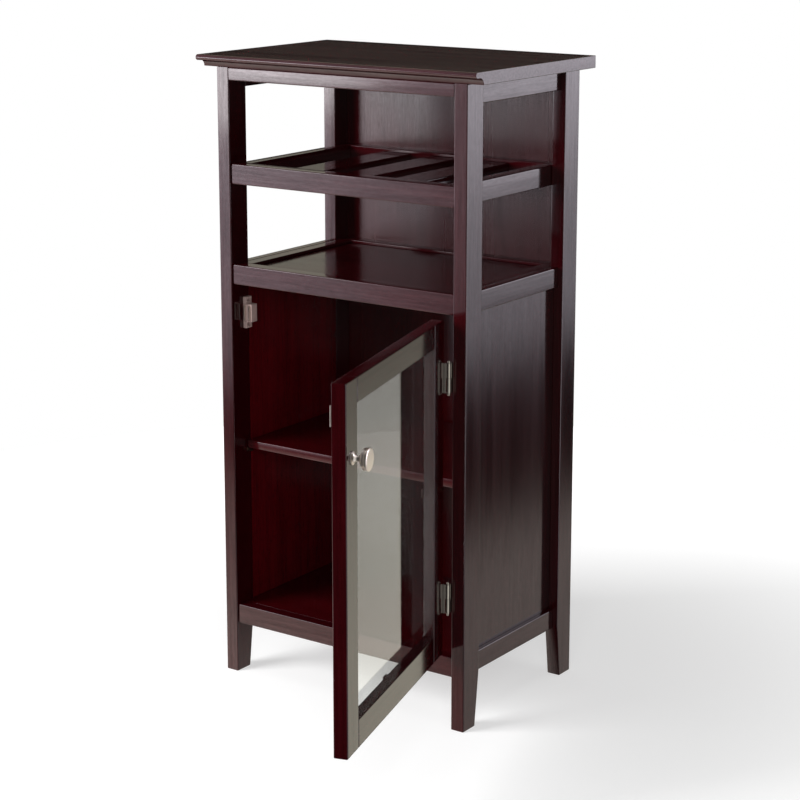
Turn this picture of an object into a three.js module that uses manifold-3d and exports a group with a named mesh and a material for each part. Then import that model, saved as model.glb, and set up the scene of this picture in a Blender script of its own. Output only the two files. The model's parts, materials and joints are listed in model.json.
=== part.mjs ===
// Wine cabinet on four tapered legs: an open bay over a bottle rack, a sunk tray below it,
// and a cupboard with an adjustable shelf behind a glazed door.
// Millimetres, +Z up, +X to the right and +Y to the back, seen from the front.
// The pieces are drawn about the middle of the legs' footprint, and the finished group is moved
// so that its origin is the middle of the front left foot's underside.
import * as THREE from "three";
import { mergeVertices } from "three/addons/utils/BufferGeometryUtils.js";
import Module from "manifold-3d";

const wasm = await Module();
wasm.setup();

// Clearances and edges shared by all the pieces
const fitGap = 0.3;
const overrun = 5;
const edgeRound = 1.5;
const tongue = 3.5;

// Whole cabinet
const cabinetHeight = 953;
const frameWidth = 440;
const frameDepth = 300;

// Top board with its moulded front edge
const topThickness = 18;
const topSideOverhang = 25;
const topFrontOverhang = 18;
const topBackOverhang = 2;
const noseRadius = 4.25;
const coveRadius = 9.5;
const coveSetback = 1.5;

// Posts, tapered into feet on the side that faces the middle of the cabinet
const postWidth = 22;
const postDepth = 40;
const footDepth = 30;
const taperHeight = 84;

// Rails
const frontRailThickness = 22;
const backRailThickness = 20;
const sideRailThickness = 14;
const railHeight = 30;
const railCorner = 2.5;
const railSetback = 3;
const topFrontRailHeight = 19;
const topSideRailHeight = 31;

// Clear heights of the two open bays, and the height of the cupboard's floor: the cupboard takes
// what is left between them
const upperBayHeight = 142;
const middleBayHeight = 121;
const floorTop = 108.5;

// Bottle rack
const innerRailThickness = 20;
const slatCount = 3;
const slatWidth = 52;
const slatThickness = 12;
const slatDrop = 5;

// Panels
const trayPanelDrop = 5;
const trayPanelThickness = 8;
const floorPanelThickness = 10;
const sidePanelThickness = 5;
const sidePanelSetback = 7;
const backPanelThickness = 5;
const backPanelSetback = 1;
const backPanelRebate = 6;
const topBackPanelCover = 21;
const bottomBackPanelCover = 15;

// Adjustable shelf on four pins, and the rows of holes that the pins fit
const shelfThickness = 13;
const shelfFrontSetback = 29;
const shelfSideGap = 2.6;
const shelfBackGap = 4;
const pinRadius = 2.5;
const pinCollarRadius = 4;
const pinCollarThickness = 1.5;
const pinDepth = 8;
const pinReach = 8;
const pinInset = 8;
const pinLowestHeight = 235;
const pinPitch = 115.5;
const pinRows = 3;
const usedPinRow = 1;

// Door
const doorThickness = 20;
const doorHingeGap = 4;
const doorFreeGap = 2;
const doorTopGap = 4.5;
const doorBottomGap = 9;
const doorStileWidth = 40;
const doorTopRailWidth = 33;
const doorBottomRailWidth = 39;
const doorOpenAngle = THREE.MathUtils.degToRad(106);

// Glass, its rebate and the clips that hold it
const glassSetback = 16;
const glassThickness = 3;
const glassRebate = 8;
const glassEdgeGap = 1;
const clipWidth = 12;
const clipFoot = 11;
const clipReach = 6;
const clipThickness = 2;

// Hinges: two knuckles each, with the pin in front of the door's face and a domed tip at each end
const hingeHeight = 43;
const hingeInset = 83;
const hingePinRadius = 1.5;
const hingeTipRadius = 2.1;
const hingeTipHeight = 4;
const hingeTipDome = 1.8;
const knuckleRadius = 3;
const knuckleProud = 6.5;
const leafThickness = 1.2;
const leafReach = 23;

// Knob and its screw
const knobRadius = 15;
const knobProjection = 24;
const knobFaceRadius = 12.5;
const knobFaceDrop = 1.6;
const knobRimThickness = 2;
const knobGrooveWidth = 1.2;
const knobGrooveDepth = 1.6;
const knobBandThickness = 2.8;
const knobBandInset = 0.6;
const knobNeckRadius = 3.5;
const knobNeckStart = 8.5;
const knobNeckLength = 1;
const knobBaseRadius = 8.7;
const knobBaseThickness = 1.5;
const knobDrop = 98.5;
const knobBoreDepth = 12;
const screwRadius = 2;
const screwHeadRadius = 4.5;
const screwHeadThickness = 2.2;

// Magnetic catch on the front left post, and its strike plate on the door
const catchDrop = 47;
const catchHeight = 27;
const catchThickness = 15.5;
const catchDepth = 13;
const catchGap = 0.4;
const bracketHeight = 48;
const bracketThickness = 1;
const bracketEarThickness = 6.5;
const bracketSlotRadius = 2.2;
const bracketSlotLength = 8;
const poleThickness = 1.6;
const poleHeight = 23;
const poleProud = 3;
const poleSpacing = 9;
const strikeHeight = 27;
const strikeWidth = 13;
const strikeThickness = 1.8;
const strikeEdgeGap = 1;

// How finely round forms are divided
const roundSides = 20;
const fineSides = 28;
const arcSteps = 8;
const cornerSteps = 3;
const bevelSteps = 2;

// Places that follow from the sizes above
const postTop = cabinetHeight - topThickness;
const rackTop = postTop - upperBayHeight;
const trayTop = rackTop - railHeight - middleBayHeight;
const frameRight = frameWidth / 2;
const frameBack = frameDepth / 2;
const innerX = frameRight - postWidth;
const innerY = frameBack - postDepth;
const railFrontY = railSetback - frameBack;
const railInnerY = railFrontY + frontRailThickness;
const backPanelY = frameBack - backPanelSetback - backPanelThickness;
const backRailY = backPanelY - backRailThickness;
const bayX = innerX - innerRailThickness;
const sideRailOuterX = innerX + sideRailThickness;
const sidePanelOuterX = sideRailOuterX - sidePanelSetback;
const doorTop = trayTop - railHeight - doorTopGap;
const doorBottom = floorTop + doorBottomGap;
const doorRight = innerX - doorHingeGap;
const doorLeft = doorFreeGap - innerX;
const doorFront = -frameBack;
const doorBack = doorFront + doorThickness;
const hingeX = innerX - doorHingeGap / 2;
const hingeY = doorFront - knuckleProud;
const pinHeight = pinLowestHeight + usedPinRow * pinPitch;
const knobX = doorLeft + doorStileWidth / 2;
const knobZ = doorTop - knobDrop;
const catchMiddle = trayTop - railHeight - catchDrop;
const strikeBack = doorBack + fitGap + strikeThickness;
const poleFront = strikeBack + catchGap;
const catchFront = poleFront + poleProud;

// Finishes
const finishes = {
  wood: { color: 0x3a2326, roughness: 0.35, metalness: 0 },
  interior: { color: 0x33191b, roughness: 0.45, metalness: 0 },
  glass: { color: 0xc9cbc2, roughness: 0.05, metalness: 0, transparent: true, opacity: 0.35 },
  nickel: { color: 0xb9b2a6, roughness: 0.3, metalness: 1 },
  plastic: { color: 0x8a7468, roughness: 0.5, metalness: 0 },
};

const mesh = (name, geometry, finish) => {
  const piece = new THREE.Mesh(geometry, new THREE.MeshStandardMaterial(finishes[finish]));
  piece.name = name;
  return piece;
};

// Joining and cutting closed shapes

function toSolid(geometry) {
  const bare = geometry.clone();
  bare.deleteAttribute("normal");
  bare.deleteAttribute("uv");
  const merged = mergeVertices(bare);
  return new wasm.Manifold(
    new wasm.Mesh({
      numProp: 3,
      vertProperties: merged.attributes.position.array,
      triVerts: new Uint32Array(merged.index.array),
    }),
  );
}

function toGeometry(solid) {
  const result = solid.getMesh();
  const geometry = new THREE.BufferGeometry();
  geometry.setAttribute("position", new THREE.BufferAttribute(result.vertProperties, 3));
  geometry.setIndex(new THREE.BufferAttribute(result.triVerts, 1));
  geometry.computeVertexNormals();
  return geometry;
}

const cut = (geometry, ...tools) =>
  toGeometry(tools.reduce((solid, tool) => solid.subtract(toSolid(tool)), toSolid(geometry)));

const join = (geometry, ...others) =>
  toGeometry(others.reduce((solid, other) => solid.add(toSolid(other)), toSolid(geometry)));

// Shapes

const unitVectors = [0, 1, 2].map((axis) => new THREE.Vector3().setComponent(axis, 1));

/** Turns a shape drawn in XY and extruded along Z so that its depth lies along the given axis. */
function layAlong(geometry, axis) {
  const basis = new THREE.Matrix4();
  basis.makeBasis(unitVectors[(axis + 1) % 3], unitVectors[(axis + 2) % 3], unitVectors[axis]);
  return geometry.applyMatrix4(basis);
}

/** Extrudes an outline from zero to the given depth, with the edges round both ends eased. */
function easedExtrusion(outline, depth, round) {
  const geometry = new THREE.ExtrudeGeometry(outline, {
    depth: depth - 2 * round,
    bevelThickness: round,
    bevelSize: round,
    bevelOffset: -round,
    bevelSegments: bevelSteps,
    curveSegments: arcSteps,
  });
  return geometry.translate(0, 0, round);
}

const plainExtrusion = (outline, depth) =>
  new THREE.ExtrudeGeometry(outline, { depth, bevelEnabled: false, curveSegments: arcSteps });

function rectangle(left, right, bottom, top) {
  return new THREE.Shape([
    new THREE.Vector2(left, bottom),
    new THREE.Vector2(right, bottom),
    new THREE.Vector2(right, top),
    new THREE.Vector2(left, top),
  ]);
}

function roundedRectangle(left, right, bottom, top, corner) {
  const centres = [
    [right - corner, top - corner],
    [left + corner, top - corner],
    [left + corner, bottom + corner],
    [right - corner, bottom + corner],
  ];
  const points = [];
  centres.forEach(([x, y], index) => {
    for (let step = 0; step <= cornerSteps; step += 1) {
      const angle = (index + step / cornerSteps) * (Math.PI / 2);
      points.push(new THREE.Vector2(x + corner * Math.cos(angle), y + corner * Math.sin(angle)));
    }
  });
  return new THREE.Shape(points);
}

/** A board between the given places along X, Y and Z, with the edges round its broad faces eased. */
function board(x, y, z, round = edgeRound, corner = 0) {
  const spans = [x, y, z];
  const sizes = spans.map(([low, high]) => high - low);
  const thin = sizes.indexOf(Math.min(...sizes));
  const limits = [...spans[(thin + 1) % 3], ...spans[(thin + 2) % 3]];
  const outline = corner ? roundedRectangle(...limits, corner) : rectangle(...limits);
  const slab = round ? easedExtrusion(outline, sizes[thin], round) : plainExtrusion(outline, sizes[thin]);
  const place = unitVectors[thin].clone().multiplyScalar(spans[thin][0]);
  return layAlong(slab, thin).translate(...place);
}

const grown = ([low, high], gap) => [low - gap, high + gap];

/** A panel with square edges, and the groove that lets it in with a gap all round. */
const panel = (spans) => board(...spans, 0);
const groove = (spans) => board(...spans.map((span) => grown(span, fitGap)), 0);

/** A round bar along the given axis that starts at a point. */
function bar(radius, length, axis, [x, y, z], sides = roundSides) {
  const cylinder = new THREE.CylinderGeometry(radius, radius, length, sides);
  cylinder.rotateX(Math.PI / 2).translate(0, 0, length / 2);
  return layAlong(cylinder, axis).translate(x, y, z);
}

/** Points of a quarter of an ellipse in a turned profile, which leaves the start along the axis. */
function quarterCurve(start, end) {
  const points = [];
  for (let step = 0; step < arcSteps; step += 1) {
    const angle = (step / arcSteps) * (Math.PI / 2);
    const across = end.x + (start.x - end.x) * Math.cos(angle);
    points.push(new THREE.Vector2(across, start.y + (end.y - start.y) * Math.sin(angle)));
  }
  return [...points, end];
}

const mirrored = ([low, high], side) => (side > 0 ? [low, high] : [-high, -low]);

const sides = [
  { name: "left", side: -1 },
  { name: "right", side: 1 },
];

// Spans of the panels, from which the grooves in their neighbours are cut too
const acrossBay = [-innerX, innerX];
const betweenPosts = [-innerY, innerY];
const trayBottom = trayTop - railHeight;
const sidePanelSpans = (side) => [
  mirrored([sidePanelOuterX - sidePanelThickness, sidePanelOuterX], side),
  grown(betweenPosts, tongue),
  grown([floorTop, trayBottom], tongue),
];
const trayPanelSpans = [
  grown([-bayX, bayX], tongue),
  grown([railInnerY, backRailY], tongue),
  [trayTop - trayPanelDrop - trayPanelThickness, trayTop - trayPanelDrop],
];
const floorPanelSpans = [
  acrossBay,
  grown([railInnerY, backRailY], tongue),
  [floorTop - floorPanelThickness, floorTop],
];
const backPanelSeam = trayTop - railHeight / 2;
const backPanelSpans = (low, high) => [
  grown(acrossBay, backPanelRebate),
  [backPanelY, backPanelY + backPanelThickness],
  [low, high],
];
const backPanelBottom = floorTop - bottomBackPanelCover;
const backPanelTop = postTop - topSideRailHeight + topBackPanelCover;

// Top board: a half-round nose over a cove along the front, square at the ends and the back

function topBoard() {
  const front = doorFront - topFrontOverhang;
  const back = frameBack + topBackOverhang;
  const coveY = doorFront + coveSetback - coveRadius;
  const outline = new THREE.Shape();
  outline.moveTo(back, postTop);
  outline.lineTo(back, cabinetHeight);
  outline.lineTo(front + noseRadius, cabinetHeight);
  outline.absarc(
    front + noseRadius,
    cabinetHeight - noseRadius,
    noseRadius,
    Math.PI / 2,
    (3 * Math.PI) / 2,
    false,
  );
  outline.lineTo(coveY, cabinetHeight - 2 * noseRadius);
  outline.absellipse(
    coveY,
    postTop,
    coveRadius,
    topThickness - 2 * noseRadius,
    Math.PI / 2,
    0,
    true,
  );
  const width = frameWidth + 2 * topSideOverhang;
  return layAlong(easedExtrusion(outline, width, edgeRound / 2), 0).translate(-width / 2, 0, 0);
}

// Posts, with the grooves, rebates and pin holes that the other pieces need

/** Side outline of a post, in Y and Z, for the front (end -1) or the back (end 1). */
function postOutline(end) {
  return new THREE.Shape([
    new THREE.Vector2(end * frameBack, 0),
    new THREE.Vector2(end * (frameBack - footDepth), 0),
    new THREE.Vector2(end * innerY, taperHeight),
    new THREE.Vector2(end * innerY, postTop),
    new THREE.Vector2(end * frameBack, postTop),
  ]);
}

function pinHole(side, end, row) {
  const start = side > 0 ? innerX - overrun : -innerX - pinDepth - fitGap;
  const place = [start, end * (innerY + pinInset), pinLowestHeight + row * pinPitch];
  return bar(pinRadius + fitGap, pinDepth + fitGap + overrun, 0, place);
}

function post(side, end) {
  const blank = layAlong(easedExtrusion(postOutline(end), postWidth, edgeRound), 0);
  blank.translate(side > 0 ? innerX : -frameRight, 0, 0);
  const cutters = [groove(sidePanelSpans(side))];
  for (let row = 0; row < pinRows; row += 1) cutters.push(pinHole(side, end, row));
  if (end > 0) {
    const [x, y, z] = backPanelSpans(backPanelBottom, backPanelTop);
    cutters.push(board(grown(x, fitGap), [y[0] - fitGap, frameBack + overrun], grown(z, fitGap), 0));
  }
  return cut(blank, ...cutters);
}

const ends = [
  { name: "front", end: -1 },
  { name: "back", end: 1 },
];

function posts() {
  const made = [];
  for (const { name: endName, end } of ends)
    for (const { name: sideName, side } of sides)
      made.push(mesh(`post_${endName}_${sideName}`, post(side, end), "wood"));
  return made;
}

// Rails right under the top board

function topRails() {
  const backHeight = [postTop - topSideRailHeight, postTop];
  const made = [
    mesh(
      "top_rail_front",
      board(acrossBay, [doorFront, doorFront + frontRailThickness], [postTop - topFrontRailHeight, postTop]),
      "wood",
    ),
    mesh("top_rail_back", board(acrossBay, [backRailY, backPanelY], backHeight), "wood"),
  ];
  for (const { name, side } of sides)
    made.push(
      mesh(
        `top_rail_${name}`,
        board(mirrored([innerX, sideRailOuterX], side), betweenPosts, backHeight),
        "wood",
      ),
    );
  return made;
}

/** A rail between two posts, with the corners of its face rounded. */
const crossRail = (depth, height) => board(acrossBay, depth, height, edgeRound, railCorner);

/** Front, back and side rails of a level whose side rails lie between the front and back ones. */
function innerFrame(prefix, top, cutters) {
  const height = [top - railHeight, top];
  const trimmed = (geometry) => (cutters.length ? cut(geometry, ...cutters) : geometry);
  const made = [
    mesh(`${prefix}_rail_front`, trimmed(crossRail([railFrontY, railInnerY], height)), "wood"),
    mesh(`${prefix}_rail_back`, trimmed(crossRail([backRailY, backPanelY], height)), "wood"),
  ];
  for (const { name, side } of sides) {
    const rail = board(mirrored([bayX, innerX], side), [railInnerY, backRailY], height);
    made.push(mesh(`${prefix}_rail_${name}`, trimmed(rail), "wood"));
  }
  return made;
}

// Bottle rack: a frame with slats that run from front to back

const slatNames = ["left", "middle", "right"];

function rack() {
  const pitch = (2 * bayX) / (slatCount + 1);
  const top = rackTop - slatDrop;
  const slatSpans = [];
  for (let index = 0; index < slatCount; index += 1) {
    const middle = (index + 1) * pitch - bayX;
    slatSpans.push([
      [middle - slatWidth / 2, middle + slatWidth / 2],
      grown([railInnerY, backRailY], tongue),
      [top - slatThickness, top],
    ]);
  }
  const slats = slatSpans.map((spans, index) =>
    mesh(`rack_slat_${slatNames[index] ?? index + 1}`, board(...spans), "wood"),
  );
  return [...innerFrame("rack", rackTop, slatSpans.map(groove)), ...slats];
}

// Tray over the cupboard: a frame round a sunk panel

function tray() {
  return [
    ...innerFrame("tray", trayTop, [groove(trayPanelSpans)]),
    mesh("tray_panel", panel(trayPanelSpans), "wood"),
  ];
}

// Cupboard: side rails and panels, floor and back

function cupboardSides() {
  const made = [];
  for (const { name, side } of sides) {
    const across = mirrored([innerX, sideRailOuterX], side);
    const slot = groove(sidePanelSpans(side));
    const middle = board(across, betweenPosts, [trayBottom, trayTop]);
    const bottom = board(across, betweenPosts, [floorTop - railHeight, floorTop]);
    made.push(
      mesh(`middle_rail_${name}`, cut(middle, slot), "wood"),
      mesh(`bottom_rail_${name}`, cut(bottom, slot), "wood"),
      mesh(`side_panel_${name}`, panel(sidePanelSpans(side)), "wood"),
    );
  }
  return made;
}

function cupboardFloor() {
  const height = [floorTop - railHeight, floorTop];
  const [x, y, z] = floorPanelSpans;
  const rebate = board(grown(x, overrun), grown(y, fitGap), [z[0] - fitGap, floorTop + overrun], 0);
  const frontRail = crossRail([railFrontY, railInnerY], height);
  const backRail = crossRail([backRailY, backPanelY], height);
  return [
    mesh("bottom_rail_front", cut(frontRail, rebate), "wood"),
    mesh("bottom_rail_back", cut(backRail, rebate), "wood"),
    mesh("floor_panel", panel(floorPanelSpans), "interior"),
  ];
}

function backPanels() {
  return [
    mesh("lower_back_panel", panel(backPanelSpans(backPanelBottom, backPanelSeam - fitGap)), "interior"),
    mesh("upper_back_panel", panel(backPanelSpans(backPanelSeam, backPanelTop)), "wood"),
  ];
}

// Shelf and its pins

function shelf() {
  const top = pinHeight + pinRadius + shelfThickness;
  return mesh(
    "shelf",
    board(
      grown(acrossBay, -shelfSideGap),
      [doorFront + shelfFrontSetback, backPanelY - shelfBackGap],
      [top - shelfThickness, top],
    ),
    "interior",
  );
}

/** A pin turned about its own axis, with a collar that stops against the post. */
function shelfPin(side, end) {
  const profile = [
    new THREE.Vector2(0, -pinDepth),
    new THREE.Vector2(pinRadius, -pinDepth),
    new THREE.Vector2(pinRadius, fitGap),
    new THREE.Vector2(pinCollarRadius, fitGap),
    new THREE.Vector2(pinCollarRadius, fitGap + pinCollarThickness),
    new THREE.Vector2(pinRadius, fitGap + pinCollarThickness),
    new THREE.Vector2(pinRadius, pinReach),
    new THREE.Vector2(0, pinReach),
  ];
  const turned = new THREE.LatheGeometry(profile, roundSides).rotateZ((side * Math.PI) / 2);
  return turned.translate(side * innerX, end * (innerY + pinInset), pinHeight);
}

function shelfPins() {
  const made = [];
  for (const { name: endName, end } of ends)
    for (const { name: sideName, side } of sides)
      made.push(mesh(`shelf_pin_${endName}_${sideName}`, shelfPin(side, end), "nickel"));
  return made;
}

// Door frame and glass, drawn closed

const glassOpening = {
  x: [doorLeft + doorStileWidth, doorRight - doorStileWidth],
  z: [doorBottom + doorBottomRailWidth, doorTop - doorTopRailWidth],
};

function doorFrame() {
  const depth = [doorFront, doorBack];
  const height = [doorBottom, doorTop];
  const rebate = board(
    grown(glassOpening.x, glassRebate),
    [doorFront + glassSetback, doorBack + overrun],
    grown(glassOpening.z, glassRebate),
    0,
  );
  const knobHole = bar(screwRadius + fitGap, doorThickness + 2 * overrun, 1, [
    knobX,
    doorFront - overrun,
    knobZ,
  ]);
  const between = grown(glassOpening.x, -fitGap);
  const free = board([doorLeft, glassOpening.x[0]], depth, height);
  const hinged = board([glassOpening.x[1], doorRight], depth, height);
  const top = board(between, depth, [glassOpening.z[1], doorTop]);
  const bottom = board(between, depth, [doorBottom, glassOpening.z[0]]);
  return [
    mesh("door_stile_free", cut(free, rebate, knobHole), "wood"),
    mesh("door_stile_hinge", cut(hinged, rebate), "wood"),
    mesh("door_rail_top", cut(top, rebate), "wood"),
    mesh("door_rail_bottom", cut(bottom, rebate), "wood"),
  ];
}

function doorGlass() {
  const margin = glassRebate - glassEdgeGap;
  const glassFront = doorFront + glassSetback + fitGap;
  const spans = [
    grown(glassOpening.x, margin),
    [glassFront, glassFront + glassThickness],
    grown(glassOpening.z, margin),
  ];
  return mesh("door_glass", panel(spans), "glass");
}

/** A clip screwed to the back of the frame, with a nose that reaches over the rebate onto the glass. */
function glassClip(turn, x, z) {
  const seat = fitGap;
  const noseBottom = glassSetback + glassThickness + 2 * fitGap - doorThickness;
  const noseStart = glassRebate - glassEdgeGap;
  const outline = new THREE.Shape([
    new THREE.Vector2(-clipFoot, seat),
    new THREE.Vector2(fitGap - glassRebate, seat),
    new THREE.Vector2(fitGap - glassRebate, noseBottom),
    new THREE.Vector2(clipReach - noseStart, noseBottom),
    new THREE.Vector2(clipReach - noseStart, seat + clipThickness),
    new THREE.Vector2(-clipFoot, seat + clipThickness),
  ]);
  const clip = plainExtrusion(outline, clipWidth).translate(0, 0, -clipWidth / 2);
  return clip.rotateY(turn).translate(x, doorBack, z);
}

function glassClips() {
  const [left, right] = glassOpening.x;
  const [bottom, top] = glassOpening.z;
  const middleX = (left + right) / 2;
  const middleZ = (bottom + top) / 2;
  return [
    mesh("glass_clip_free", glassClip(0, left, middleZ), "plastic"),
    mesh("glass_clip_bottom", glassClip(-Math.PI / 2, middleX, bottom), "plastic"),
    mesh("glass_clip_hinge", glassClip(Math.PI, right, middleZ), "plastic"),
    mesh("glass_clip_top", glassClip(Math.PI / 2, middleX, top), "plastic"),
  ];
}

// Knob on the middle of the free stile, and the screw that holds it from behind

/** A bell-shaped foot, a thin neck, and a head with a groove between its band and its rim. */
function knob() {
  const point = (radius, height) => new THREE.Vector2(radius, fitGap + height);
  const rimTop = knobProjection - knobFaceDrop;
  const rimBottom = rimTop - knobRimThickness;
  const bandTop = rimBottom - knobGrooveWidth;
  const bandBottom = bandTop - knobBandThickness;
  const bandRadius = knobRadius - knobBandInset;
  const grooveRadius = knobRadius - knobGrooveDepth;
  const neckStart = point(knobNeckRadius, knobNeckStart);
  const profile = [
    point(0, 0),
    point(knobBaseRadius, 0),
    ...quarterCurve(neckStart, point(knobBaseRadius, knobBaseThickness)).reverse(),
    point(knobNeckRadius, knobNeckStart + knobNeckLength),
    point(bandRadius, bandBottom),
    point(bandRadius, bandTop),
    point(grooveRadius, bandTop),
    point(grooveRadius, rimBottom),
    point(knobRadius, rimBottom),
    ...quarterCurve(point(knobRadius, rimTop), point(knobFaceRadius, knobProjection)),
    point(0, knobProjection),
  ];
  const turned = new THREE.LatheGeometry(profile, fineSides).rotateX(Math.PI);
  turned.translate(knobX, doorFront, knobZ);
  const boreStart = [knobX, doorFront - fitGap - knobBoreDepth, knobZ];
  const bore = bar(screwRadius + fitGap, knobBoreDepth + overrun, 1, boreStart);
  return mesh("knob", cut(turned, bore), "nickel");
}

function knobScrew() {
  const head = doorThickness + fitGap;
  const profile = [
    new THREE.Vector2(0, fitGap - knobBoreDepth + fitGap),
    new THREE.Vector2(screwRadius, fitGap - knobBoreDepth + fitGap),
    new THREE.Vector2(screwRadius, head),
    new THREE.Vector2(screwHeadRadius, head),
    new THREE.Vector2(screwHeadRadius, head + screwHeadThickness / 2),
    new THREE.Vector2(screwHeadRadius / 2, head + screwHeadThickness),
    new THREE.Vector2(0, head + screwHeadThickness),
  ];
  const turned = new THREE.LatheGeometry(profile, roundSides).translate(knobX, doorFront, knobZ);
  return mesh("knob_screw", turned, "nickel");
}

// Hinges: the lower knuckle belongs to the post's leaf and the upper one to the door's

/** A leaf of one hinge. Its own knuckle reaches from the middle to the top (half 1) or bottom (half -1). */
function hingeLeaf(middle, half, x) {
  const height = grown([middle, middle], hingeHeight / 2);
  const [low, high] = half > 0 ? [middle + fitGap / 2, height[1]] : [height[0], middle - fitGap / 2];
  const plateY = hingeY + knuckleRadius + 2 * fitGap;
  const plate = board(x, [plateY, hingeY + leafReach], height, 0);
  const neck = board(x, [hingeY, plateY + leafThickness], [low, high], 0);
  const knuckle = bar(knuckleRadius, high - low, 2, [hingeX, hingeY, low]);
  const bore = bar(hingePinRadius + fitGap, high - low + 2 * overrun, 2, [hingeX, hingeY, low - overrun]);
  return cut(join(knuckle, plate, neck), bore);
}

const hinges = [
  { name: "upper", middle: doorTop - hingeInset },
  { name: "lower", middle: doorBottom + hingeInset },
];

/** The pin of one hinge, whose domed tips stand beyond both ends of the barrel. */
function hingePin(middle) {
  const barrelEnd = hingeHeight / 2;
  const tip = barrelEnd + hingeTipHeight;
  const upper = [
    new THREE.Vector2(hingePinRadius, barrelEnd + fitGap),
    new THREE.Vector2(hingeTipRadius, barrelEnd + fitGap),
    ...quarterCurve(new THREE.Vector2(hingeTipRadius, tip - hingeTipDome), new THREE.Vector2(0, tip)),
  ];
  const lower = upper.map(({ x, y }) => new THREE.Vector2(x, -y)).reverse();
  const turned = new THREE.LatheGeometry([...lower, ...upper], roundSides).rotateX(Math.PI / 2);
  return turned.translate(hingeX, hingeY, middle);
}

function postHingePieces() {
  const x = [innerX - leafThickness, innerX];
  return hinges.flatMap(({ name, middle }) => [
    mesh(`hinge_${name}_post_leaf`, hingeLeaf(middle, -1, x), "nickel"),
    mesh(`hinge_${name}_pin`, hingePin(middle), "nickel"),
  ]);
}

function doorHingePieces() {
  const x = [doorRight + fitGap, doorRight + fitGap + leafThickness];
  return hinges.map(({ name, middle }) => mesh(`hinge_${name}_door_leaf`, hingeLeaf(middle, 1, x), "nickel"));
}

// Magnetic catch: a bracket whose thick ears have slots and hold a case between them, and two pole
// plates that meet the strike

const catchSpanY = [catchFront, catchFront + catchDepth];
const caseSpanZ = grown([catchMiddle, catchMiddle], catchHeight / 2);

/** A slot through one ear of the bracket, above the case (end 1) or below it (end -1). */
function bracketSlot(end) {
  const slotY = catchFront + catchDepth / 2;
  const slotZ = catchMiddle + (end * (bracketHeight + catchHeight)) / 4;
  const reach = bracketSlotLength / 2 - bracketSlotRadius;
  const outline = new THREE.Shape();
  outline.absarc(slotY + reach, slotZ, bracketSlotRadius, -Math.PI / 2, Math.PI / 2, false);
  outline.absarc(slotY - reach, slotZ, bracketSlotRadius, Math.PI / 2, (3 * Math.PI) / 2, false);
  const slot = layAlong(plainExtrusion(outline, bracketEarThickness + 2 * overrun), 0);
  return slot.translate(-innerX - overrun, 0, 0);
}

function catchBracket() {
  const height = grown([catchMiddle, catchMiddle], bracketHeight / 2);
  const block = board([-innerX, bracketEarThickness - innerX], catchSpanY, height, edgeRound / 2);
  const recess = board(
    [bracketThickness - innerX, bracketEarThickness + overrun - innerX],
    grown(catchSpanY, overrun),
    grown(caseSpanZ, fitGap),
    0,
  );
  return cut(block, recess, bracketSlot(1), bracketSlot(-1));
}

function doorCatch() {
  const caseLeft = bracketThickness - innerX;
  const middleX = caseLeft + catchThickness / 2;
  const caseBoard = board([caseLeft, caseLeft + catchThickness], catchSpanY, caseSpanZ, edgeRound / 2);
  const made = [mesh("catch_bracket", catchBracket(), "plastic"), mesh("catch_case", caseBoard, "plastic")];
  for (const { name, side } of sides) {
    const poleX = middleX + (side * poleSpacing) / 2;
    made.push(
      mesh(
        `catch_pole_${name}`,
        board(
          [poleX - poleThickness / 2, poleX + poleThickness / 2],
          [poleFront, catchFront],
          [catchMiddle - poleHeight / 2, catchMiddle + poleHeight / 2],
          0,
        ),
        "nickel",
      ),
    );
  }
  return made;
}

function strikePlate() {
  const left = doorLeft + strikeEdgeGap;
  return mesh(
    "strike_plate",
    board(
      [left, left + strikeWidth],
      [doorBack + fitGap, strikeBack],
      [catchMiddle - strikeHeight / 2, catchMiddle + strikeHeight / 2],
      edgeRound / 3,
    ),
    "nickel",
  );
}

// Assembly

/** The door stands open: its pieces are drawn closed and turned about the hinge pins. */
function door() {
  const closed = new THREE.Group();
  closed.position.set(-hingeX, -hingeY, 0);
  closed.add(...doorFrame(), doorGlass(), ...glassClips(), knob(), knobScrew());
  closed.add(...doorHingePieces(), strikePlate());
  const turned = new THREE.Group();
  turned.position.set(hingeX, hingeY, 0);
  turned.rotation.z = doorOpenAngle;
  turned.add(closed);
  return turned;
}

const carcase = new THREE.Group();
carcase.add(mesh("top_board", topBoard(), "wood"), ...posts(), ...topRails(), ...rack(), ...tray());
carcase.add(...cupboardSides(), ...cupboardFloor(), ...backPanels(), ...postHingePieces(), ...doorCatch());

const cabinet = new THREE.Group();
cabinet.add(carcase, shelf(), ...shelfPins(), door());
cabinet.position.set(frameRight - postWidth / 2, frameBack - footDepth / 2, 0);

const wineCabinet = new THREE.Group();
wineCabinet.add(cabinet);

export default wineCabinet;
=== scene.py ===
"""Wine cabinet: the finish of every surface and the small metal parts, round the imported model.

Metres, +Z up, +X to the right and +Y to the back, seen from the front. The origin is the middle
of the front left foot's underside. The door stands open, and its metal parts are modelled with
the door shut and then swung open with it.
"""

import json
import math

import bpy
from bpy.props import FloatProperty, FloatVectorProperty, IntProperty, PointerProperty
from mathutils import Matrix, Vector


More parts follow.
